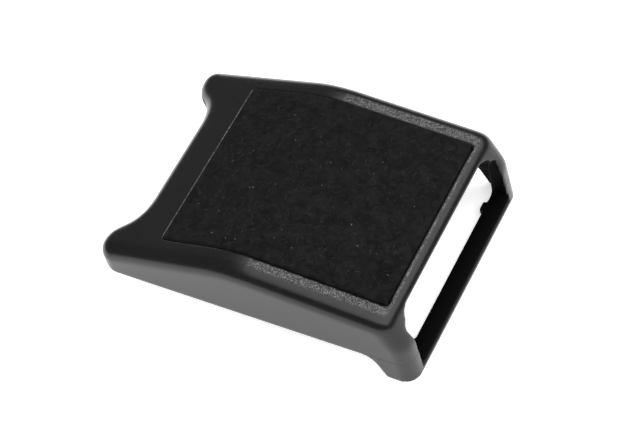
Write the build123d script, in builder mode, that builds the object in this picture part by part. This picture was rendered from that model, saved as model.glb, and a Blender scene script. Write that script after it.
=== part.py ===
"""Web-belt buckle slider: moulded body, loop-fastener pad, clamping lever and its pivot pin.

Frame: +X towards the belt inlet, +Y across the belt, +Z out of the face.
Origin: middle of the length and width, on the plane the buckle lies on.
Units are millimetres.
"""
import os
from math import cos, radians, sin, tan

from build123d import *

# ---- body: overall --------------------------------------------------------------------------
BODY_LENGTH = 66.8
BODY_WIDTH = 48.2
WALL = 2.6
WALL_BEVEL = 1.6            # bevel inside the lower edge of each wall
HALF_LENGTH = BODY_LENGTH / 2
HALF_WIDTH = BODY_WIDTH / 2
HALF_INSIDE = HALF_WIDTH - WALL
CUT = 1.0                   # how far a cutter runs past the surface it opens
BASE_HEIGHT = 5.5           # lower edge of the side walls above the resting plane

# ---- body: face plate, straight at both ends with a bend between ------------------------------
RIDGE_X = -3.5
RIDGE_HEIGHT = 19.6
INLET_SLOPE = 4.3           # fall from the bend to the belt inlet, degrees
TAIL_SLOPE = 15.0           # fall from the bend to the thumb notch, degrees
BEND_RADIUS = 30.0
FACE_THICKNESS = 3.0
LIP_FOOT_X = 28.4           # lower front edge of the face plate at the inlet
LIP_LEAN = 0.775            # how far the inlet edge leans out over its foot, per height
LIP_HEIGHT = 13.3           # lowest line of the rounded bead along the inlet edge
LIP_RADIUS = 1.6
LIP_BEAD_X = 27.7
RIM_RADIUS = 3.2

# ---- body: thumb notch between two horns ------------------------------------------------------
NOTCH_X = -28.0
NOTCH_STRAIGHT = 18.0
NOTCH_FLARE = (-29.7, 15.0)
HORN_RADIUS = 3.3

# ---- body: inlet posts and their feet, in one with the walls ----------------------------------
CROWN_X = 29.5              # where the face turns down into the posts
SHOULDER = (32.7, 10.4)
SHOULDER_RADIUS = 8.0
FOOT_START_X = 25.0
FOOT_TOE_X = 27.6
FOOT_INNER_X = 30.0         # inner side of each foot starts further forward
FOOT_HEEL_RADIUS = 3.4
FOOT_TOE_RADIUS = 0.7

# ---- body: belt window and belt bar -----------------------------------------------------------
BAR_WIDTH = 3.7
BAR_HEIGHT = 2.2
BAR_FRONT_HEIGHT = 2.05
BAR_REAR_X = HALF_LENGTH - BAR_WIDTH
BAR_CREST_X = HALF_LENGTH - 2.0
WINDOW_HALF_WIDTH = 19.9
WINDOW_CORNER = 1.2
LIP_NOTCH_WIDTH = 37.2      # the lip is set back between the posts
LIP_NOTCH_CORNER = 2.6
LUG_LENGTH = 2.0
LUG_REACH = 0.9
LUG_HEIGHT = 1.8
LUG_Y = 16.6

# ---- body: grip ribs under the face -----------------------------------------------------------
GRIP_RIB_COUNT = 5
GRIP_RIB_PITCH = 1.8
GRIP_RIB_WIDTH = 0.8
GRIP_RIB_HEIGHT = 0.25
GRIP_RIB_X = 9.6
GRIP_RIB_LENGTH = 37.0

# ---- loop pad ---------------------------------------------------------------------------------
PAD_LENGTH = 47.1
PAD_WIDTH = 38.0
PAD_RIGHT_X = 27.5
PAD_LEFT_X = PAD_RIGHT_X - PAD_LENGTH
PAD_GAP = 0.3
PAD_CORNER = 0.6
RECESS_DEPTH = 1.3
ADHESIVE = 0.2
PAD_SINK = 0.3              # pad surface below the rim of the face

# ---- clamping lever and pin -------------------------------------------------------------------
PIVOT_X = 13.0
PIVOT_Z = 8.3
PIN_RADIUS = 1.5
PIN_PLAY = 0.05
PIN_END_GAP = 0.1
PIN_CHAMFER = 0.25
SOCKET_DEPTH = 1.4
SOCKET_NECK = 2.8
LEVER_SIDE_GAP = 0.4
LEVER_HALF_WIDTH = HALF_INSIDE - LEVER_SIDE_GAP
HUB_RADIUS = 3.1
NOSE_RADIUS = 6.7
NOSE_FROM = 12.0            # toothed arc, degrees back from upright
NOSE_TO = 48.0
TOOTH_COUNT = 6
TOOTH_DEPTH = 0.55
TOOTH_RAMP = 0.8            # share of each tooth taken by its long side
NOSE_FRONT = 2.5            # the nose starts this far in front of the pin
TAIL_X = -28.6
TAIL_HEIGHT = 3.2
TAIL_FLAT_X = -18.6
NOSE_ROOT_X = 7.4           # where the plate meets the back of the nose
NOSE_ROOT_Z = 8.9
STRAP_SLOT = 4.8
STRAP_SLOT_X = -21.8
STRAP_SLOT_LENGTH = 38.6
STRAP_SLOT_CORNER = 0.8
TAIL_EDGE_RADIUS = 1.3
POCKET_FROM_X = -15.0       # pockets under the lever's plate
POCKET_TO_X = 5.0
POCKET_WIDTH = 11.0
POCKET_PITCH = 12.8
POCKET_COUNT = 3
POCKET_ROOF = 1.7


def face_line(depth, left_x, right_x):
    """Left end, bend and right end of the face line, sunk by depth below the outer surface."""
    left_z = RIDGE_HEIGHT - depth / cos(radians(TAIL_SLOPE))
    right_z = RIDGE_HEIGHT - depth / cos(radians(INLET_SLOPE))
    rise = tan(radians(TAIL_SLOPE))
    fall = tan(radians(INLET_SLOPE))
    bend_x = RIDGE_X + (right_z - left_z) / (rise + fall)
    left = (left_x, left_z + rise * (left_x - RIDGE_X))
    bend = (bend_x, left_z + rise * (bend_x - RIDGE_X))
    right = (right_x, right_z - fall * (right_x - RIDGE_X))
    return left, bend, right


def nearest(vertices, point):
    """The vertex of a side-view sketch closest to a point of the side view."""
    return vertices.sort_by(lambda v: (v.X - point[0]) ** 2 + (v.Y - point[1]) ** 2)[0]


def face_layer(top_depth, bottom_depth, left_x, right_x, width, corner):
    """A layer of the face between two depths, bent with it and rounded at its four corners."""
    top = face_line(top_depth, left_x, right_x)
    bottom = face_line(bottom_depth, left_x, right_x)
    with BuildPart() as layer:
        with BuildSketch(Plane.XZ) as side:
            with BuildLine():
                Polyline(*top, *reversed(bottom), close=True)
            make_face()
            fillet(nearest(side.vertices(), top[1]), BEND_RADIUS - top_depth)
            fillet(nearest(side.vertices(), bottom[1]), BEND_RADIUS - bottom_depth)
        extrude(amount=width / 2, both=True)
        with BuildSketch(Plane.XY):
            with Locations(((left_x + right_x) / 2, 0)):
                RectangleRounded(right_x - left_x, width, corner)
        extrude(amount=RIDGE_HEIGHT, mode=Mode.INTERSECT)
    return layer.part


def make_shell():
    """Face, side walls, posts and feet as one solid, with the rolled rim and the thumb notch."""
    left_top, bend_top, crown = face_line(0, -HALF_LENGTH, CROWN_X)
    with BuildPart() as shell:
        with BuildSketch(Plane.XZ) as side:
            with BuildLine():
                Polyline(
                    (-HALF_LENGTH, BASE_HEIGHT),
                    (FOOT_START_X, BASE_HEIGHT),
                    (FOOT_TOE_X, 0),
                    (HALF_LENGTH, 0),
                    SHOULDER,
                    crown,
                    bend_top,
                    left_top,
                    close=True,
                )
            make_face()
            fillet(nearest(side.vertices(), bend_top), BEND_RADIUS)
            fillet(nearest(side.vertices(), crown), RIM_RADIUS)
            fillet(nearest(side.vertices(), SHOULDER), SHOULDER_RADIUS)
            fillet(nearest(side.vertices(), (-HALF_LENGTH, BASE_HEIGHT)), HORN_RADIUS)
            fillet(nearest(side.vertices(), (FOOT_START_X, BASE_HEIGHT)), FOOT_HEEL_RADIUS)
            fillet(nearest(side.vertices(), (FOOT_TOE_X, 0)), FOOT_TOE_RADIUS)
        extrude(amount=HALF_WIDTH, both=True)

        horn_tip = (-HALF_LENGTH, HALF_WIDTH - HORN_RADIUS)
        horn_side = (-HALF_LENGTH + HORN_RADIUS, HALF_WIDTH)
        notch_end = (NOTCH_X, NOTCH_STRAIGHT / 2)
        with BuildSketch(Plane.XY):
            with BuildLine():
                Line((NOTCH_X, 0), notch_end)
                Spline(notch_end, NOTCH_FLARE, horn_tip, tangents=((0, 1), (0, 1)))
                RadiusArc(horn_tip, horn_side, HORN_RADIUS)
                Line(horn_side, (HALF_LENGTH, HALF_WIDTH))
                Line((HALF_LENGTH, HALF_WIDTH), (HALF_LENGTH, 0))
                mirror(about=Plane.XZ)
            make_face()
        extrude(amount=RIDGE_HEIGHT, mode=Mode.INTERSECT)

        def on_rim(edge):
            middle = edge.center()
            tail_corner = abs(edge.tangent_at(0.5).Z) > 0.95 and middle.X < 0
            across = abs(edge.length - BODY_WIDTH) < 0.1
            upper = middle.Z > RIDGE_HEIGHT / 2
            post = middle.X > FOOT_INNER_X and middle.Z > FOOT_TOE_RADIUS
            return (upper or post) and not tail_corner and not across

        fillet(shell.edges().filter_by(on_rim), RIM_RADIUS)
    return shell.part


def make_window():
    """The space between the posts, from the belt bar up, that the belt enters through."""
    beyond = HALF_LENGTH + CUT
    with BuildPart() as window:
        with BuildSketch(Plane.XZ):
            with BuildLine():
                Polyline(
                    (BAR_REAR_X - CUT, BAR_HEIGHT),
                    (BAR_CREST_X, BAR_HEIGHT),
                    (HALF_LENGTH, BAR_FRONT_HEIGHT),
                    (beyond, BAR_FRONT_HEIGHT),
                    (beyond, LIP_HEIGHT),
                    (BAR_REAR_X - CUT, LIP_HEIGHT),
                    close=True,
                )
            make_face()
        extrude(amount=WINDOW_HALF_WIDTH, both=True)
        with BuildSketch(Plane.YZ):
            with Locations((0, (LIP_HEIGHT + BAR_FRONT_HEIGHT) / 2)):
                RectangleRounded(2 * WINDOW_HALF_WIDTH, LIP_HEIGHT - BAR_FRONT_HEIGHT, WINDOW_CORNER)
        extrude(amount=beyond, mode=Mode.INTERSECT)

        # the lip stands back between the posts
        with BuildSketch(Plane.XY.offset(LIP_HEIGHT - CUT)):
            with Locations((LIP_FOOT_X - CUT * LIP_LEAN + HALF_LENGTH / 2, 0)):
                RectangleRounded(HALF_LENGTH, LIP_NOTCH_WIDTH, LIP_NOTCH_CORNER)
        extrude(amount=RIDGE_HEIGHT - LIP_HEIGHT, dir=(LIP_LEAN, 0, 1))
    return window.part


# ---- body -----------------------------------------------------------------------------------
shell_part = make_shell()
recess = face_layer(
    -CUT, RECESS_DEPTH, PAD_LEFT_X - PAD_GAP, PAD_RIGHT_X + PAD_GAP,
    PAD_WIDTH + 2 * PAD_GAP, PAD_CORNER + PAD_GAP,
)
under_left, under_bend, under_right = face_line(FACE_THICKNESS, -HALF_LENGTH - CUT, BAR_REAR_X)

with BuildPart() as body:
    add(shell_part)

    # hollow underside, open below and at the thumb notch
    with BuildSketch(Plane.XZ) as hollow:
        with BuildLine():
            Polyline(
                (-HALF_LENGTH - CUT, -CUT),
                (BAR_REAR_X, -CUT),
                under_right,
                under_bend,
                under_left,
                close=True,
            )
        make_face()
        fillet(nearest(hollow.vertices(), under_bend), BEND_RADIUS - FACE_THICKNESS)
    extrude(amount=HALF_INSIDE, both=True, mode=Mode.SUBTRACT)

    # window between the posts, above the belt bar
    add(make_window(), mode=Mode.SUBTRACT)

    # bevel inside the lower edges of the walls, running out at the feet
    with BuildSketch(Plane.YZ.offset(-HALF_LENGTH - CUT)):
        with BuildLine():
            Polyline(
                (HALF_INSIDE - CUT, BASE_HEIGHT + WALL_BEVEL + CUT),
                (HALF_INSIDE + WALL_BEVEL, BASE_HEIGHT),
                (HALF_INSIDE + WALL_BEVEL, -CUT),
                (HALF_INSIDE - CUT, -CUT),
                close=True,
            )
            mirror(about=Plane.YZ)
        make_face()
    extrude(amount=FOOT_INNER_X + HALF_LENGTH + CUT, mode=Mode.SUBTRACT)

    # small lugs on the inner edge of the belt bar
    with Locations((BAR_REAR_X, LUG_Y, BAR_HEIGHT / 2), (BAR_REAR_X, -LUG_Y, BAR_HEIGHT / 2)):
        Box(2 * LUG_REACH, LUG_LENGTH, LUG_HEIGHT)

    # pin sockets in the walls, each with a neck that the pin snaps through from below
    with BuildSketch(Plane.XZ):
        with Locations((PIVOT_X, PIVOT_Z)):
            Circle(PIN_RADIUS)
        with Locations((PIVOT_X, PIVOT_Z / 2)):
            Rectangle(SOCKET_NECK, PIVOT_Z)
    extrude(amount=HALF_INSIDE + SOCKET_DEPTH, both=True, mode=Mode.SUBTRACT)

    # grip ribs under the face, above the lever's nose
    with BuildSketch(Plane.XZ):
        for step in range(GRIP_RIB_COUNT):
            rib_x = GRIP_RIB_X + (step - (GRIP_RIB_COUNT - 1) / 2) * GRIP_RIB_PITCH
            rib_z = face_line(FACE_THICKNESS, 0, rib_x)[2][1]
            with Locations((rib_x, rib_z)):
                Rectangle(GRIP_RIB_WIDTH, 2 * GRIP_RIB_HEIGHT)
    extrude(amount=GRIP_RIB_LENGTH / 2, both=True)

    # rounded bead along the inlet edge of the face, where the belt runs over it
    with BuildSketch(Plane.XZ):
        with Locations((LIP_BEAD_X, LIP_HEIGHT + LIP_RADIUS)):
            Circle(LIP_RADIUS)
    extrude(amount=HALF_INSIDE, both=True)

    # recess for the pad
    add(recess, mode=Mode.SUBTRACT)

body.part.label = "buckle_body"

# ---- pad and its adhesive ---------------------------------------------------------------------
adhesive = face_layer(
    RECESS_DEPTH - ADHESIVE, RECESS_DEPTH, PAD_LEFT_X, PAD_RIGHT_X, PAD_WIDTH, PAD_CORNER,
)
adhesive.label = "pad_adhesive"

pad = face_layer(
    PAD_SINK, RECESS_DEPTH - ADHESIVE, PAD_LEFT_X, PAD_RIGHT_X, PAD_WIDTH, PAD_CORNER,
)
pad.label = "loop_pad"


# ---- clamping lever ---------------------------------------------------------------------------
def nose_point(angle, radius):
    """Point on the lever's nose, by angle back from upright and distance from the pivot."""
    return PIVOT_X - radius * sin(radians(angle)), PIVOT_Z + radius * cos(radians(angle))


def plate_top(x):
    """Height of the upper side of the lever's plate between its flat tail and its nose."""
    share = (x - TAIL_FLAT_X) / (NOSE_ROOT_X - TAIL_FLAT_X)
    return TAIL_HEIGHT + share * (NOSE_ROOT_Z - TAIL_HEIGHT)


nose = [(PIVOT_X + NOSE_FRONT, PIVOT_Z)]
tooth_angle = (NOSE_TO - NOSE_FROM) / TOOTH_COUNT
for tooth in range(TOOTH_COUNT):
    nose.append(nose_point(NOSE_FROM + tooth * tooth_angle, NOSE_RADIUS))
    nose.append(nose_point(NOSE_FROM + (tooth + TOOTH_RAMP) * tooth_angle, NOSE_RADIUS - TOOTH_DEPTH))
nose.append(nose_point(NOSE_TO, NOSE_RADIUS))
nose.append((NOSE_ROOT_X, PIVOT_Z))

with BuildPart() as lever:
    with BuildSketch(Plane.XZ) as lever_side:
        with Locations((PIVOT_X, PIVOT_Z)):
            Circle(HUB_RADIUS)
        with BuildLine():
            Polyline(*nose, close=True)
        make_face()
        with BuildLine():
            Polyline(
                (PIVOT_X, PIVOT_Z - HUB_RADIUS),
                (TAIL_FLAT_X, 0),
                (TAIL_X, 0),
                (TAIL_X, TAIL_HEIGHT),
                (TAIL_FLAT_X, TAIL_HEIGHT),
                (NOSE_ROOT_X, NOSE_ROOT_Z),
                (PIVOT_X, PIVOT_Z),
                close=True,
            )
        make_face()
        fillet(nearest(lever_side.vertices(), (TAIL_X, 0)), TAIL_EDGE_RADIUS)
        fillet(nearest(lever_side.vertices(), (TAIL_X, TAIL_HEIGHT)), TAIL_EDGE_RADIUS)
    extrude(amount=LEVER_HALF_WIDTH, both=True)

    # bore for the pin
    with BuildSketch(Plane.XZ):
        with Locations((PIVOT_X, PIVOT_Z)):
            Circle(PIN_RADIUS + PIN_PLAY)
    extrude(amount=LEVER_HALF_WIDTH, both=True, mode=Mode.SUBTRACT)

    # pockets under the plate, leaving ribs between them
    for row in range(POCKET_COUNT):
        pocket_y = (row - (POCKET_COUNT - 1) / 2) * POCKET_PITCH
        with BuildSketch(Plane.XZ.offset(-pocket_y)):
            with BuildLine():
                Polyline(
                    (POCKET_FROM_X, -CUT),
                    (POCKET_FROM_X, plate_top(POCKET_FROM_X) - POCKET_ROOF),
                    (POCKET_TO_X, plate_top(POCKET_TO_X) - POCKET_ROOF),
                    (POCKET_TO_X, -CUT),
                    close=True,
                )
            make_face()
        extrude(amount=POCKET_WIDTH / 2, both=True, mode=Mode.SUBTRACT)

    # slot for the sewn end of the belt, leaving a bar at the tail
    with BuildSketch(Plane.XY):
        with Locations((STRAP_SLOT_X, 0)):
            RectangleRounded(STRAP_SLOT, STRAP_SLOT_LENGTH, STRAP_SLOT_CORNER)
    extrude(amount=PIVOT_Z, mode=Mode.SUBTRACT)

lever.part.label = "clamp_lever"

# ---- pin --------------------------------------------------------------------------------------
with BuildPart() as pin:
    with BuildSketch(Plane.XZ):
        with Locations((PIVOT_X, PIVOT_Z)):
            Circle(PIN_RADIUS)
    extrude(amount=HALF_INSIDE + SOCKET_DEPTH - PIN_END_GAP, both=True)
    chamfer(pin.edges(), PIN_CHAMFER)

pin.part.label = "pivot_pin"

# ---- export -----------------------------------------------------------------------------------
os.makedirs("parts", exist_ok=True)
for piece in (body.part, adhesive, pad, lever.part, pin.part):
    export_step(piece, f"parts/{piece.label}.step")
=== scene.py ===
"""Looks of the web-belt buckle slider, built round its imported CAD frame. Units are metres."""

from math import cos, pi, radians, sin

import bmesh
import bpy
import numpy as np
from mathutils import Matrix, Vector
from mathutils.bvhtree import BVHTree


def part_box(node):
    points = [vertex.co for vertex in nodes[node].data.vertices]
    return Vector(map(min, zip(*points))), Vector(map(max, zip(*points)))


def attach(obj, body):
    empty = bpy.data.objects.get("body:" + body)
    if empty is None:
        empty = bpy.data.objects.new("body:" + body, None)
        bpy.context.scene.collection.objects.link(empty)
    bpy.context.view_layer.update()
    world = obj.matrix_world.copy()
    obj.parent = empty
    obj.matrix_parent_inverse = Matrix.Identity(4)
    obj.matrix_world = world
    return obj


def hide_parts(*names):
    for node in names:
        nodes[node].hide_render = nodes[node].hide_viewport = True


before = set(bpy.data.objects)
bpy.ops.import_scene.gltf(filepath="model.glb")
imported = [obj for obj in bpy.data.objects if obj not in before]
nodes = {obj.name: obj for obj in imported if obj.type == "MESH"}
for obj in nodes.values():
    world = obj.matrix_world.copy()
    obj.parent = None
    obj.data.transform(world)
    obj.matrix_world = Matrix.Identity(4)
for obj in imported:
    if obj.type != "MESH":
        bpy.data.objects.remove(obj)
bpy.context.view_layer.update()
rng = np.random.default_rng(7)

MM = 0.001
WELD = 0.001 * MM           # points nearer than this are one point

INLET_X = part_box("buckle_body")[1][0]
pad_low, pad_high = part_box("loop_pad")

# ---- camera -----------------------------------------------------------------------------------
CAMERA_AZIMUTH = 38.7
CAMERA_ELEVATION = 52.6
CAMERA_ROLL = -15.4
CAMERA_DISTANCE = 407 * MM
CAMERA_TARGET = Vector((3.7, -0.6, 10.0)) * MM
CAMERA_LENS = 120.1
CAMERA_SENSOR = 36.0

# ---- body and lever ---------------------------------------------------------------------------
SKIN_VOXEL = 0.25 * MM
BODY_ROUNDS = 3             # rounds of smoothing that soften the edges
LEVER_ROUNDS = 4
CORNER_ROUNDS = 60
SMOOTHING = 0.5
CORNER_X = 26.0 * MM        # the outer corners over the posts are blended from here on
CORNER_Y = 17.0 * MM
CORNER_Z = 9.5 * MM
CORNER_FADE_X = 2.5 * MM
CORNER_FADE = 3.0 * MM

POST_X = 27.5 * MM          # the posts and the bar lie beyond this
BAR_Y = 20.1 * MM           # half the bar's length, to where the posts begin
BAR_ZONE_Z = 3.2 * MM       # the bar lies below this
BAR_FRONT_X = INLET_X - 0.35 * MM
BAR_SHINE_Z = 1.0 * MM      # the bar's front keeps the plain plastic, without painted shade, up to here
GLOSS_X = INLET_X - 0.3 * MM    # the front of the posts keeps the plain plastic, without painted shade, from a slanting plane on
GLOSS_LEAN = 0.10
INSIDE_Y = 23.3 * MM        # the inner sides of the walls and posts lie within this
FACES_IN = 0.25             # least sideways part of the normal of a face that looks inward
FACES_UP = 0.3              # least upward part of the normal of a face that looks up

PARTING_Z = 6.1 * MM
# painted highlight: pale grey painted on the grain's peaks, standing in for the sparkle of light off the
# grain
PAINTED_SPARKLE_COLOUR = (0.15, 0.15, 0.152, 1)
GRAIN_DEPTH = 0.08 * MM

# ---- loop pad ---------------------------------------------------------------------------------
PILE_STEP = 0.30 * MM
PILE_ROLL = 0.7 * MM        # width of the rounded edge of the pad
PILE_DROP = 0.30 * MM       # how far its free edges roll down
PILE_CROWD = 0.09 * MM      # pushed up where it meets the recess
PILE_RAISE = 0.17 * MM      # fluffed up above the CAD's pad
PILE_SWELL = 0.07 * MM
PILE_FRAY = 0.06 * MM
PAD_SLIP = 0.26 * MM        # laid against the far and tail sides of the recess
PAD_THICKNESS = 0.8 * MM
PAD_MIDDLE_Y = (pad_low[1] + pad_high[1]) / 2

LOOP_COUNT = 15000
LOOP_POINTS = 5             # points along one loop
LOOP_HEIGHT = 0.22 * MM
LOOP_SPAN = 0.42 * MM
LOOP_WIDTH = 0.05 * MM
LOOP_LEAN = 0.12 * MM
LOOP_ROOT = 0.06 * MM       # how deep a loop's ends stand in the pile
LOOP_INSET = 0.15 * MM      # kept clear along the pad's edge

WISP_COUNT = 620
SPECK_COUNT = 26
FIBRE_SIDES = 4
FIBRE_RINGS = 6
FIBRE_REST = 0.08 * MM      # height of a loose fibre over the pile
FIBRE_WAVE = 0.04 * MM

# ---- staging ----------------------------------------------------------------------------------
FLOOR_HALF = 1.5
FLOOR_GLOW = 0.65           # the floor is a light table, which leaves almost no shadow
GLOW_FROM = 0.12            # its glow fades out between these distances
GLOW_TO = 0.40
GLOW_TILT_X = 0.04          # and is 1.15 times as strong this far to the tail, 0.85 to the inlet
GLOW_TAIL = 1.15
GLOW_INLET = 0.85
ROOM_LIGHT = 0.3


# ---- mesh helpers -----------------------------------------------------------------------------
def linked(name, mesh):
    """A new object in the scene that holds the mesh."""
    obj = bpy.data.objects.new(name, mesh)
    bpy.context.scene.collection.objects.link(obj)
    return obj


def mesh_object(name, vertices, faces, smooth=True):
    mesh = bpy.data.meshes.new(name)
    mesh.from_pydata([tuple(v) for v in vertices], [], [tuple(f) for f in faces])
    mesh.update()
    mesh.polygons.foreach_set("use_smooth", [smooth] * len(mesh.polygons))
    return linked(name, mesh)


def paint(obj, *materials):
    obj.data.materials.clear()
    for material in materials:
        obj.data.materials.append(material)


def baked(obj, name):
    """A new object holding obj's mesh with its modifiers applied."""
    graph = bpy.context.evaluated_depsgraph_get()
    mesh = bpy.data.meshes.new_from_object(obj.evaluated_get(graph))
    mesh.name = name
    result = linked(name, mesh)
    bpy.data.objects.remove(obj)
    return result


def welded(obj):
    """Joins the points that the CAD's faces share."""
    shape = bmesh.new()
    shape.from_mesh(obj.data)
    bmesh.ops.remove_doubles(shape, verts=shape.verts, dist=WELD)
    shape.to_mesh(obj.data)
    shape.free()


def cut_along(obj, point, normal):
    """Gives the mesh an edge all along a plane, so that the plain plastic and its painted-shade copy
    meet in a clean line.
    """
    shape = bmesh.new()
    shape.from_mesh(obj.data)
    everything = shape.verts[:] + shape.edges[:] + shape.faces[:]
    bmesh.ops.bisect_plane(shape, geom=everything, dist=WELD, plane_co=point, plane_no=normal)
    shape.to_mesh(obj.data)
    shape.free()


def smooth_by(obj, name, rounds):
    modifier = obj.modifiers.new(name, "SMOOTH")
    modifier.factor = SMOOTHING
    modifier.iterations = rounds
    return modifier


def softened(node, name, rounds, corner=None):
    """The node's shape as one even skin, its edges rounded as a mould rounds them."""
    work = linked(name + "_work", nodes[node].data.copy())
    welded(work)
    remesh = work.modifiers.new("skin", "REMESH")
    remesh.mode = "VOXEL"
    remesh.voxel_size = SKIN_VOXEL
    work = baked(work, name + "_skin")
    smooth_by(work, "edges", rounds)
    if corner:
        group = work.vertex_groups.new(name="corner")
        for vertex in work.data.vertices:
            weight = corner(vertex.co)
            if weight > 0:
                group.add([vertex.index], weight, "REPLACE")
        smooth_by(work, "corners", CORNER_ROUNDS).vertex_group = "corner"
    result = baked(work, name)
    result.data.polygons.foreach_set("use_smooth", [True] * len(result.data.polygons))
    return result


def rise(value, start, length):
    """0 at start, 1 a length further on, smooth between."""
    share = min(max((value - start) / length, 0.0), 1.0)
    return share * share * (3 - 2 * share)


def inlet_corner(point):
    """How much a point belongs to the rounded outer corners over the inlet posts."""
    along = rise(point.x, CORNER_X, CORNER_FADE_X)
    across = rise(abs(point.y), CORNER_Y, CORNER_FADE)
    up = rise(point.z, CORNER_Z, CORNER_FADE)
    return along * across * up


# ---- materials --------------------------------------------------------------------------------
class Recipe:
    """A new material, with short calls for the nodes that the materials here are made of."""

    def __init__(self, name):
        self.material = bpy.data.materials.new(name)
        self.material.use_nodes = True
        self.tree = self.material.node_tree
        self.shader = next(node for node in self.tree.nodes if node.type == "BSDF_PRINCIPLED")

    def fill(self, node, inputs):
        """Links a socket to another's output, or sets its value."""
        for socket, value in inputs.items():
            if isinstance(value, bpy.types.NodeSocket):
                self.tree.links.new(value, node.inputs[socket])
            else:
                node.inputs[socket].default_value = value

    def add(self, kind, inputs, **settings):
        node = self.tree.nodes.new(kind)
        for key, value in settings.items():
            setattr(node, key, value)
        self.fill(node, inputs)
        return node

    def surface(self, inputs):
        """Fills the principled shader and gives the finished material."""
        self.fill(self.shader, inputs)
        return self.material

    def coordinate(self, kind="Object"):
        return self.add("ShaderNodeTexCoord", {}).outputs[kind]

    def axes(self, vector):
        return self.add("ShaderNodeSeparateXYZ", {"Vector": vector}).outputs

    def stretched(self, vector, scale):
        return self.add("ShaderNodeMapping", {"Vector": vector, "Scale": scale}).outputs["Vector"]

    def noise(self, where, scale, detail=2.0, roughness=0.5, distortion=0.0):
        inputs = {"Vector": where, "Scale": scale, "Detail": detail}
        inputs |= {"Roughness": roughness, "Distortion": distortion}
        return self.add("ShaderNodeTexNoise", inputs).outputs["Fac"]

    def math(self, operation, first, second=0.0):
        return self.add("ShaderNodeMath", {0: first, 1: second}, operation=operation).outputs[0]

    def remap(self, value, low, high, to_low=0.0, to_high=1.0, curve="LINEAR"):
        inputs = {"Value": value, "From Min": low, "From Max": high, "To Min": to_low, "To Max": to_high}
        return self.add("ShaderNodeMapRange", inputs, interpolation_type=curve).outputs["Result"]

    def ramp(self, value, dark, light, start=0.0, end=1.0):
        node = self.add("ShaderNodeValToRGB", {"Fac": value})
        first, last = node.color_ramp.elements
        first.position, first.color = start, (*dark, 1)
        last.position, last.color = end, (*light, 1)
        return node.outputs["Color"]

    def mix(self, share, first, second):
        """A blend of two colours; a Mix node's colour sockets are 6, 7 and, out, 2."""
        return self.add("ShaderNodeMix", {0: share, 6: first, 7: second}, data_type="RGBA").outputs[2]

    def bump(self, height, strength, distance, under=None):
        inputs = {"Height": height, "Strength": strength, "Distance": distance}
        if under is not None:
            inputs["Normal"] = under
        return self.add("ShaderNodeBump", inputs).outputs["Normal"]


def grain_and_painted_sparkle(recipe, where, colour, rough, normal):
    """Adds spark-eroded grain where the face is flat and slopes down to the inlet, and paints its peaks
    paler as a painted highlight.
    """
    facing = recipe.axes(recipe.coordinate("Normal"))
    level = recipe.remap(recipe.math("ABSOLUTE", facing["Y"]), 0.10, 0.22, 1.0, 0.0)
    upward = recipe.remap(facing["Z"], 0.90, 0.95)
    high = recipe.remap(recipe.axes(where)["Z"], 10.5 * MM, 11.5 * MM)
    flat = recipe.math("MULTIPLY", recipe.math("MULTIPLY", level, upward), high)
    strength = recipe.math("MULTIPLY", flat, recipe.remap(facing["X"], 0.02, 0.074))
    pits = recipe.add("ShaderNodeTexVoronoi", {"Vector": where, "Scale": 3600.0}).outputs["Distance"]
    stipple = recipe.noise(where, 4300.0)
    normal = recipe.bump(recipe.math("ADD", pits, stipple), strength, GRAIN_DEPTH, normal)
    # painted highlight: the grain's peaks are painted paler where the face slopes to the inlet, standing
    # in for the sparkle of light off the grain
    painted_sparkle = recipe.math("MULTIPLY", recipe.remap(stipple, 0.49, 0.59), strength)
    colour = recipe.mix(painted_sparkle, colour, PAINTED_SPARKLE_COLOUR)
    rough = recipe.math("ADD", rough, recipe.math("MULTIPLY", flat, 0.06))
    return colour, rough, normal


def parting_line(recipe, where, normal):
    """Adds the fine groove round the inlet posts, where the mould's halves met."""
    place = recipe.axes(where)
    away = recipe.math("ABSOLUTE", recipe.math("SUBTRACT", place["Z"], PARTING_Z))
    groove = recipe.remap(away, 0.04 * MM, 0.15 * MM)
    inlet_end = recipe.remap(place["X"], 24 * MM, 26 * MM)
    return recipe.bump(groove, inlet_end, 0.2 * MM, normal)


def moulded_plastic(name, body=False):
    """Satin black nylon. The body's also has grain on the face's margins, with a painted highlight on
    its peaks, and a parting line.
    """
    recipe = Recipe(name)
    where = recipe.coordinate()
    cloud = recipe.noise(where, 90.0, detail=3.0)
    colour = recipe.ramp(cloud, (0.0026, 0.0026, 0.0028), (0.0042, 0.0042, 0.0045), 0.3, 0.7)
    scuff = recipe.noise(where, 700.0, detail=6.0, roughness=0.7)
    rough = recipe.remap(scuff, 0.3, 0.7, 0.20, 0.27)
    normal = recipe.bump(recipe.noise(where, 2600.0), 0.10, 0.03 * MM)
    if body:
        colour, rough, normal = grain_and_painted_sparkle(recipe, where, colour, rough, normal)
        normal = parting_line(recipe, where, normal)
    return recipe.surface({
        "Base Color": colour,
        "Roughness": rough,
        "IOR": 1.5,
        "Specular IOR Level": 0.38,
        "Normal": normal,
    })


def painted_shade_plastic():
    """A darker, nearly unreflective copy of the nylon, as painted shade inside the walls, posts and
    window, on the bar and on faces that look down.
    """
    recipe = Recipe("body_plastic_painted_shade")
    drag = recipe.stretched(recipe.coordinate(), (1400.0, 1400.0, 260.0))
    marks = recipe.noise(drag, 1.0, detail=3.0)
    return recipe.surface({
        "Base Color": recipe.ramp(marks, (0.0020, 0.0020, 0.0022), (0.0026, 0.0026, 0.0028)),
        "Roughness": recipe.remap(marks, 0.0, 1.0, 0.38, 0.52),
        "Specular IOR Level": 0.02,
        "Normal": recipe.bump(marks, 0.2, 0.02 * MM),
    })


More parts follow.
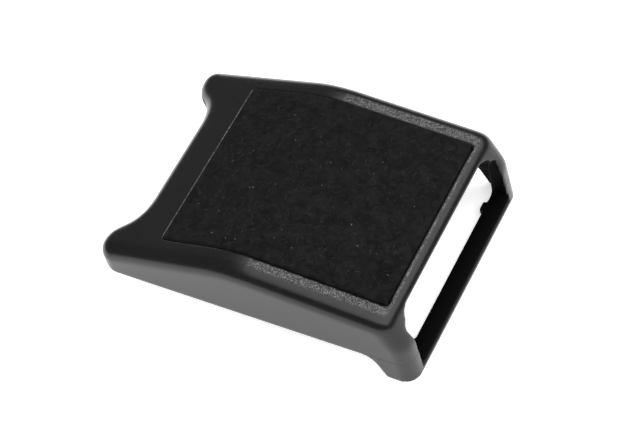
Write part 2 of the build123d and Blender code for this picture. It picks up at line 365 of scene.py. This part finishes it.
def loop_cloth():
    """Brushed black nylon loops: matt, faintly mottled where the pile lies over."""
    recipe = Recipe("loop_fabric")
    where = recipe.coordinate()
    lay = recipe.noise(where, 420.0, detail=5.0, roughness=0.65, distortion=1.2)
    fibre = recipe.noise(where, 3800.0, detail=4.0)
    return recipe.surface({
        "Base Color": recipe.ramp(lay, (0.0034, 0.0034, 0.0036), (0.0104, 0.0104, 0.0108), 0.37, 0.66),
        "Roughness": 0.85,
        "Sheen Weight": 0.05,
        "Sheen Roughness": 0.4,
        "Specular IOR Level": 0.10,
        "Normal": recipe.bump(fibre, 0.7, 0.08 * MM),
    })


def lint_fibre(name, dark, light):
    """Fibres lying on the pile, between two shades of grey."""
    recipe = Recipe(name)
    shade = recipe.noise(recipe.coordinate(), 900.0)
    return recipe.surface({
        "Base Color": recipe.ramp(shade, (dark,) * 3, (light,) * 3, 0.3, 0.7),
        "Roughness": 0.8,
    })


def adhesive_film():
    recipe = Recipe("adhesive_film")
    patches = recipe.noise(recipe.coordinate(), 1500.0)
    return recipe.surface({
        "Base Color": (0.012, 0.012, 0.012, 1),
        "Roughness": recipe.remap(patches, 0.0, 1.0, 0.5, 0.8),
    })


def ground_steel():
    """Steel of the pin, with fine marks round it from grinding."""
    recipe = Recipe("pin_steel")
    rings = recipe.stretched(recipe.coordinate(), (80.0, 9000.0, 80.0))
    marks = recipe.noise(rings, 1.0, detail=3.0)
    return recipe.surface({
        "Base Color": (0.52, 0.52, 0.53, 1),
        "Metallic": 1.0,
        "Roughness": recipe.remap(marks, 0.0, 1.0, 0.22, 0.42),
        "Normal": recipe.bump(marks, 0.15, 0.01 * MM),
    })


def pale_floor():
    recipe = Recipe("pale_floor")
    where = recipe.coordinate()
    reach = recipe.add("ShaderNodeVectorMath", {0: where}, operation="LENGTH").outputs["Value"]
    glow = recipe.remap(reach, GLOW_FROM, GLOW_TO, FLOOR_GLOW, 0.0, curve="SMOOTHSTEP")
    tilt = recipe.remap(recipe.axes(where)["X"], -GLOW_TILT_X, GLOW_TILT_X, GLOW_TAIL, GLOW_INLET)
    return recipe.surface({
        "Base Color": (0.88, 0.88, 0.88, 1),
        "Roughness": 0.9,
        "Specular IOR Level": 0.0,
        "Emission Color": (1, 1, 1, 1),
        "Emission Strength": recipe.math("MULTIPLY", glow, tilt),
    })


# ---- body, lever and pin ----------------------------------------------------------------------
def takes_painted_shade(centre, normal):
    """Whether a face of the body takes the painted-shade copy of the plastic: on the bar, inside the
    walls and posts, or looking down.
    """
    x, across, z = centre.x, abs(centre.y), centre.z
    if x > POST_X and across < BAR_Y and z < BAR_ZONE_Z:
        return x < BAR_FRONT_X or z > BAR_SHINE_Z
    faces_in = normal.y * centre.y < -FACES_IN * across and normal.z < FACES_UP
    if across < INSIDE_Y and faces_in:
        return x + GLOSS_LEAN * z < GLOSS_X
    return normal.z < -FACES_UP


body = softened("buckle_body", "body_moulding", BODY_ROUNDS, inlet_corner)
cut_along(body, Vector((GLOSS_X, 0, 0)), Vector((1, 0, GLOSS_LEAN)).normalized())
paint(body, moulded_plastic("body_plastic", body=True), painted_shade_plastic())
# painted shade: the bar, the inner sides and the downward faces take the darker, unreflective copy
for polygon in body.data.polygons:
    polygon.material_index = int(takes_painted_shade(polygon.center, polygon.normal))
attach(body, "buckle")
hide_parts("buckle_body")

lever = softened("clamp_lever", "lever_moulding", LEVER_ROUNDS)
paint(lever, moulded_plastic("lever_plastic"))
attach(lever, "lever")
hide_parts("clamp_lever")

paint(nodes["pivot_pin"], ground_steel())
paint(nodes["pad_adhesive"], adhesive_film())


# ---- loop pad ---------------------------------------------------------------------------------
pad_tree = BVHTree.FromPolygons(
    [vertex.co.copy() for vertex in nodes["loop_pad"].data.vertices],
    [tuple(polygon.vertices) for polygon in nodes["loop_pad"].data.polygons],
)


def pad_top(x):
    """Height of the CAD pad's upper surface at x, or just inside its nearer end."""
    inset = 0.01 * MM
    above = 10 * MM
    x = min(max(x, pad_low[0] + inset), pad_high[0] - inset)
    hit = pad_tree.ray_cast(Vector((x, PAD_MIDDLE_Y, pad_high[2] + above)), Vector((0, 0, -1)))
    return hit[0].z


def waves(count, size, seed):
    """A smooth random height field made of a few dozen plane waves of about that size."""
    source = np.random.default_rng(seed)
    angle = source.uniform(0, 2 * pi, count)
    number = 2 * pi / (size * source.uniform(0.7, 1.5, count))
    phase = source.uniform(0, 2 * pi, count)
    number_x, number_y = np.cos(angle) * number, np.sin(angle) * number

    def height(x, y):
        along = np.multiply.outer(x, number_x) + np.multiply.outer(y, number_y)
        return np.sin(along + phase).sum(axis=-1) / np.sqrt(count)

    return height


tufts = waves(40, 1.1 * MM, 3)
swirls = waves(24, 5.0 * MM, 4)
fray = waves(30, 0.8 * MM, 5)


def swell(x, y):
    """How far the pile stands above or below its mean height."""
    return (0.7 * tufts(x, y) + 0.5 * swirls(x, y)) * PILE_SWELL


def closed_faces(columns, rows):
    """Faces of a closed sheet: a grid of upper points, the lower ones after them, and a skirt."""
    at = np.arange(columns * rows).reshape(columns, rows)
    upper = np.stack([at[:-1, :-1], at[1:, :-1], at[1:, 1:], at[:-1, 1:]], axis=-1).reshape(-1, 4)
    lower = upper[:, ::-1] + at.size
    rim = np.concatenate([at[:, 0], at[-1, 1:], at[-2::-1, -1], at[0, -2:0:-1]])
    after = np.roll(rim, -1)
    skirt = np.stack([rim, rim + at.size, after + at.size, after], axis=-1)
    return np.concatenate([upper, lower, skirt])


def make_pad():
    """The pad as one closed piece of short pile with a rolled, slightly frayed edge."""
    columns = int(round((pad_high[0] - pad_low[0]) / PILE_STEP)) + 1
    rows = int(round((pad_high[1] - pad_low[1]) / PILE_STEP)) + 1
    xs = np.linspace(pad_low[0] - PAD_SLIP, pad_high[0], columns)
    ys = np.linspace(pad_low[1], pad_high[1] + PAD_SLIP, rows)
    base = np.array([pad_top(x) for x in xs])
    x, y = np.meshgrid(xs, ys, indexing="ij")
    to_inlet, to_near = xs[-1] - x, y - ys[0]
    edge_x = np.minimum(x - xs[0], to_inlet)
    edge_y = np.minimum(to_near, ys[-1] - y)
    edge = np.minimum(edge_x, edge_y)
    inside = np.clip(edge / PILE_ROLL, 0, 1)

    free = np.minimum(to_inlet, to_near)
    drop = np.clip(1 - free / PILE_ROLL, 0, 1) ** 2 * PILE_DROP
    drop -= np.clip(1 - edge / PILE_ROLL, 0, 1) ** 2 * PILE_CROWD
    top = base[:, None] + PILE_RAISE - drop + swell(x, y) * inside
    shift = fray(x, y) * PILE_FRAY * (1 - inside)
    top_x = x - shift * np.sign(x - (xs[0] + xs[-1]) / 2) * (edge == edge_x)
    top_y = y - shift * np.sign(y) * (edge == edge_y)
    bottom = np.broadcast_to(base[:, None] - PAD_THICKNESS, x.shape)

    upper = np.stack([top_x, top_y, top], axis=-1).reshape(-1, 3)
    lower = np.stack([x, y, bottom], axis=-1).reshape(-1, 3)
    pad = mesh_object("loop_pad_pile", np.concatenate([upper, lower]), closed_faces(columns, rows))
    return pad, xs, base


def make_loops(xs, base):
    """Single loops of the pile: thin bent ribbons standing in the pad."""
    x = rng.uniform(pad_low[0] + LOOP_INSET, pad_high[0] - LOOP_INSET, LOOP_COUNT)
    y = rng.uniform(pad_low[1] + LOOP_INSET, pad_high[1] - LOOP_INSET, LOOP_COUNT)
    z = np.interp(x, xs, base) + PILE_RAISE - LOOP_ROOT + swell(x, y)
    turn = rng.uniform(0, 2 * pi, LOOP_COUNT)
    span = LOOP_SPAN * rng.uniform(0.6, 1.3, LOOP_COUNT)
    tall = LOOP_HEIGHT * rng.uniform(0.5, 1.0, LOOP_COUNT)
    lean = rng.normal(0, LOOP_LEAN, (LOOP_COUNT, 2))
    points = []
    for step in range(LOOP_POINTS):
        share = step / (LOOP_POINTS - 1)
        arch = sin(pi * share)
        offset = (share - 0.5) * span
        middle_x = x + np.cos(turn) * offset + lean[:, 0] * arch
        middle_y = y + np.sin(turn) * offset + lean[:, 1] * arch
        height = z + tall * arch
        for side in (-LOOP_WIDTH / 2, LOOP_WIDTH / 2):
            edge_x = middle_x - np.sin(turn) * side
            edge_y = middle_y + np.cos(turn) * side
            points.append(np.stack([edge_x, edge_y, height], axis=-1))
    vertices = np.stack(points, axis=1).reshape(-1, 3)
    vertices[:, 0] = np.clip(vertices[:, 0], pad_low[0], pad_high[0])
    vertices[:, 1] = np.clip(vertices[:, 1], pad_low[1], pad_high[1])
    first = np.arange(LOOP_COUNT) * LOOP_POINTS * 2
    faces = [
        np.stack([first + 2 * s, first + 2 * s + 1, first + 2 * s + 3, first + 2 * s + 2], axis=-1)
        for s in range(LOOP_POINTS - 1)
    ]
    return mesh_object("pad_loops", vertices, np.concatenate(faces))


def tube_faces(start):
    """Faces of one fibre whose rings of points begin at start, its two ends closed."""
    faces = []
    for ring in range(FIBRE_RINGS - 1):
        for side in range(FIBRE_SIDES):
            a = start + ring * FIBRE_SIDES + side
            b = start + ring * FIBRE_SIDES + (side + 1) % FIBRE_SIDES
            faces.append((a, b, b + FIBRE_SIDES, a + FIBRE_SIDES))
    last = start + (FIBRE_RINGS - 1) * FIBRE_SIDES
    faces.append(tuple(start + side for side in reversed(range(FIBRE_SIDES))))
    faces.append(tuple(last + side for side in range(FIBRE_SIDES)))
    return faces


def make_fibres(name, count, length, thick, xs, base):
    """Short bent fibres lying on the pile, with lengths and thicknesses between two limits."""
    vertices, faces = [], []
    for _ in range(count):
        long = rng.uniform(*length)
        wide = rng.uniform(*thick)
        x = rng.uniform(pad_low[0] + MM, pad_high[0] - MM)
        y = rng.uniform(pad_low[1] + MM, pad_high[1] - MM)
        turn = rng.uniform(0, 2 * pi)
        bend = rng.normal(0, 1.4)
        faces += tube_faces(len(vertices))
        for ring in range(FIBRE_RINGS):
            share = ring / (FIBRE_RINGS - 1) - 0.5
            heading = turn + bend * share
            px = x + long * share * cos(heading)
            py = y + long * share * sin(heading)
            pz = np.interp(px, xs, base) + PILE_RAISE + FIBRE_REST + FIBRE_WAVE * sin(3 * share + bend)
            radius = wide * (1.0 - 1.6 * share * share)
            for side in range(FIBRE_SIDES):
                around = 2 * pi * side / FIBRE_SIDES
                vertices.append((
                    px - sin(heading) * radius * cos(around),
                    py + cos(heading) * radius * cos(around),
                    pz + radius * sin(around),
                ))
    return mesh_object(name, vertices, faces)


pad, profile_x, profile_z = make_pad()
loops = make_loops(profile_x, profile_z)
wisps = make_fibres(
    "pad_wisps", WISP_COUNT, (0.4 * MM, 1.5 * MM), (0.022 * MM, 0.050 * MM), profile_x, profile_z
)
specks = make_fibres(
    "pad_lint", SPECK_COUNT, (0.12 * MM, 0.5 * MM), (0.03 * MM, 0.06 * MM), profile_x, profile_z
)
cloth = loop_cloth()
paint(pad, cloth)
paint(loops, cloth)
paint(wisps, lint_fibre("wisp", 0.006, 0.026))
paint(specks, lint_fibre("lint", 0.08, 0.40))
for piece in (pad, loops, wisps, specks):
    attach(piece, "buckle")
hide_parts("loop_pad")


# ---- floor, lights and camera -----------------------------------------------------------------
corners = [(-1, -1), (1, -1), (1, 1), (-1, 1)]
floor_points = [(x * FLOOR_HALF, y * FLOOR_HALF, 0) for x, y in corners]
floor = mesh_object("floor", floor_points, [(0, 1, 2, 3)], smooth=False)
paint(floor, pale_floor())


def softbox(name, low, high, height, radiance):
    """A level rectangular area light over the buckle, between two corners seen from above."""
    data = bpy.data.lights.new(name, "AREA")
    data.shape = "RECTANGLE"
    data.size = high[0] - low[0]
    data.size_y = high[1] - low[1]
    data.energy = radiance * pi * data.size * data.size_y
    light = linked(name, data)
    light.location = ((low[0] + high[0]) / 2, (low[1] + high[1]) / 2, height)


softbox("overhead", low=(-0.33, -1.0), high=(1.60, 1.05), height=0.92, radiance=2.4)
softbox("overhead_middle", low=(-0.36, 0.38), high=(-0.16, 0.64), height=0.90, radiance=5.0)

world = bpy.data.worlds.new("studio")
world.use_nodes = True
background = world.node_tree.nodes["Background"]
background.inputs["Color"].default_value = (1, 1, 1, 1)
background.inputs["Strength"].default_value = ROOM_LIGHT
bpy.context.scene.world = world

camera_data = bpy.data.cameras.new("camera")
camera_data.lens = CAMERA_LENS
camera_data.sensor_width = CAMERA_SENSOR
camera_data.clip_start = 0.01
camera = linked("camera", camera_data)
azimuth, elevation = radians(CAMERA_AZIMUTH), radians(CAMERA_ELEVATION)
look = Vector((-sin(azimuth) * cos(elevation), cos(azimuth) * cos(elevation), -sin(elevation)))
level_view = look.to_track_quat("-Z", "Y").to_matrix().to_4x4()
rolled_view = level_view @ Matrix.Rotation(radians(CAMERA_ROLL), 4, "Z")
camera.matrix_world = Matrix.Translation(CAMERA_TARGET - look * CAMERA_DISTANCE) @ rolled_view
bpy.context.scene.camera = camera
bpy.context.scene.view_settings.view_transform = "Standard"

bpy.context.view_layer.update()
